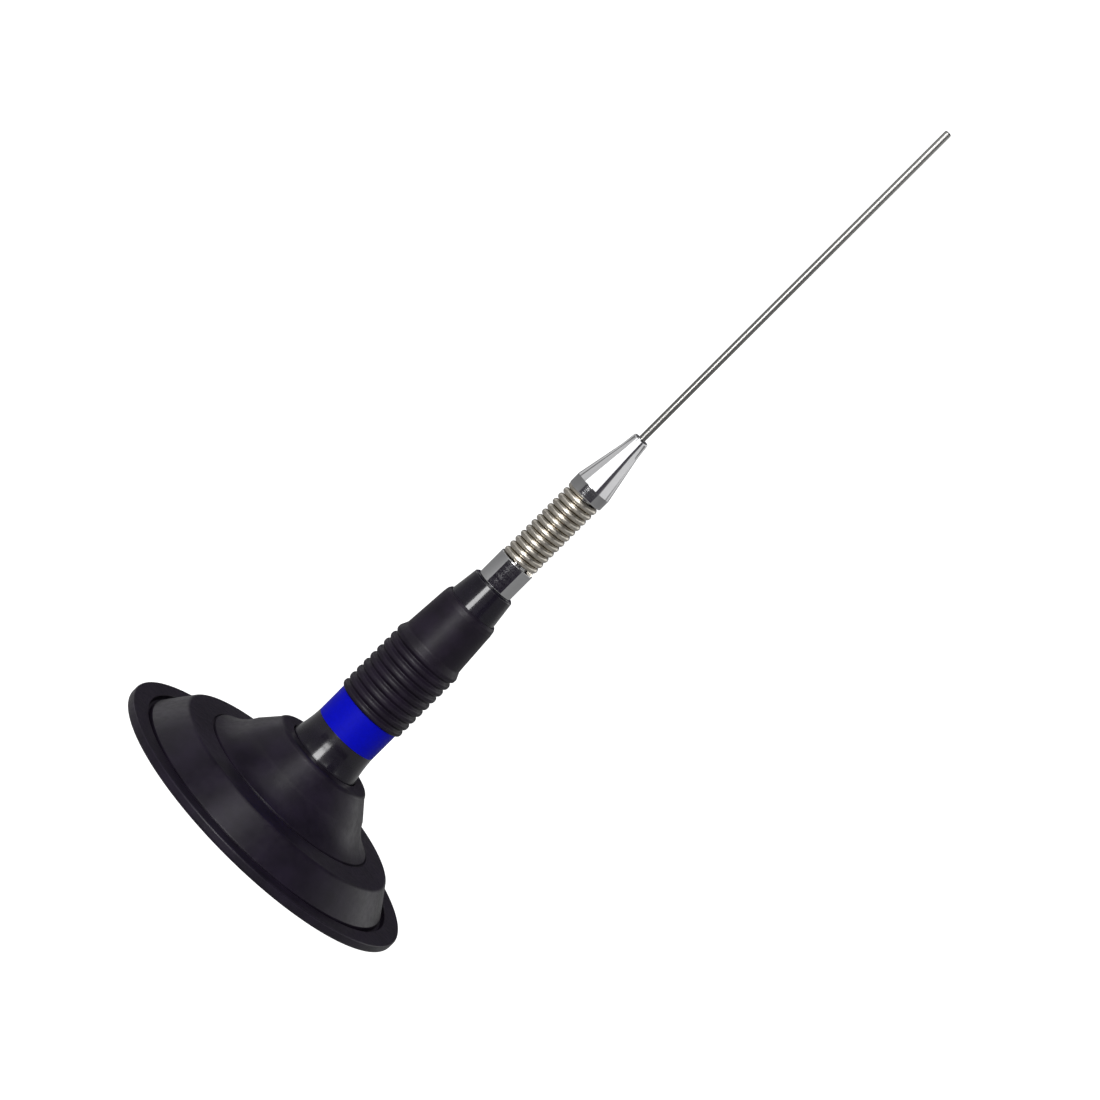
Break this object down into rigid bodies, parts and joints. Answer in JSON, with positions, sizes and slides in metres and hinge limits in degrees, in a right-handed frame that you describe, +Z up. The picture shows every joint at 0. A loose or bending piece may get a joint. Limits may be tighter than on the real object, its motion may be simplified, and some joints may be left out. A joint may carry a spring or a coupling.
{
  "type": "magnetic mount vehicle radio antenna",
  "caption": "Upright vehicle radio antenna: magnetic base in a rubber boot, ribbed coil housing, bending spring and a thin steel whip.",
  "frame": {"origin": "middle of the underside of the magnetic base", "axes": "+Z up along the whip, +Y towards the back, where the cable gland is"},
  "size_m": [0.145, 0.145, 0.3819],
  "materials": {
    "boot_rubber": "matte black, fine grain",
    "gland_rubber": "matte",
    "pad_film": "matte",
    "zinc_steel": "zinc plated",
    "ferrite": "matte dark grey",
    "nylon": "natural nylon",
    "plated_brass": "turned",
    "tinned": "tin plated",
    "gloss_black": "gloss black",
    "blue_film": "satin blue print",
    "housing_black": "matte black",
    "former_plastic": "moulded",
    "copper_wire": "enamelled copper",
    "chrome": "polished chrome",
    "spring_steel": "polished, slightly warm",
    "whip_steel": "drawn stainless",
    "black_steel": "black oxide"
  },
  "bodies": {
    "base": {"base_boot": "boot_rubber", "magnet_dish": "zinc_steel", "ring_magnet": "ferrite", "paint_guard": "pad_film", "stud_pedestal": "nylon", "pedestal_screws": "zinc_steel", "mount_stud": "plated_brass", "centre_tag": "tinned", "stud_lock_washer": "zinc_steel", "stud_nut": "plated_brass", "earth_tag": "tinned", "earth_screw": "zinc_steel", "cable_gland": "gland_rubber"},
    "neck_seal": {"neck_gasket": "gland_rubber"},
    "radiator": {"neck": "gloss_black", "label_band": "blue_film", "thread_insert": "plated_brass", "coil_housing": "housing_black", "coil_former": "former_plastic", "coil_winding": "copper_wire", "top_insert": "plated_brass", "upper_collar": "gloss_black", "spring_ferrule": "chrome"},
    "spring": {"spring": "spring_steel", "spring_braid": "copper_wire"},
    "head": {"whip_holder": "chrome", "grub_screws": "black_steel"},
    "whip": {"whip": "whip_steel"}
  },
  "joints": [
    {"name": "antenna_lift", "type": "slide", "parent": "base", "child": "neck_seal", "axis": [0, 0, 1], "range_m": [0, 0.011]},
    {"name": "antenna_unscrew", "type": "hinge", "parent": "neck_seal", "child": "radiator", "pos_m": [0, 0, 0.0342], "axis": [0, 0, 1], "range_deg": [0, 3600]},
    {"name": "spring_bend_side", "type": "hinge", "parent": "radiator", "child": "spring", "pos_m": [0, 0, 0.15584], "axis": [0, 1, 0], "range_deg": [-45, 45], "stiffness_Nm_per_rad": 0.6, "deforming": ["spring", "spring_braid"]},
    {"name": "spring_bend_back", "type": "hinge", "parent": "spring", "child": "head", "pos_m": [0, 0, 0.17449], "axis": [1, 0, 0], "range_deg": [-45, 45], "stiffness_Nm_per_rad": 0.6, "deforming": ["spring", "spring_braid"]},
    {"name": "whip_tune", "type": "slide", "parent": "head", "child": "whip", "axis": [0, 0, 1], "range_m": [-0.008, 0.008]}
  ],
  "couplings": [
    {"joint": "antenna_lift", "follows": "antenna_unscrew", "m_per_rad": 0.00016844}
  ]
}
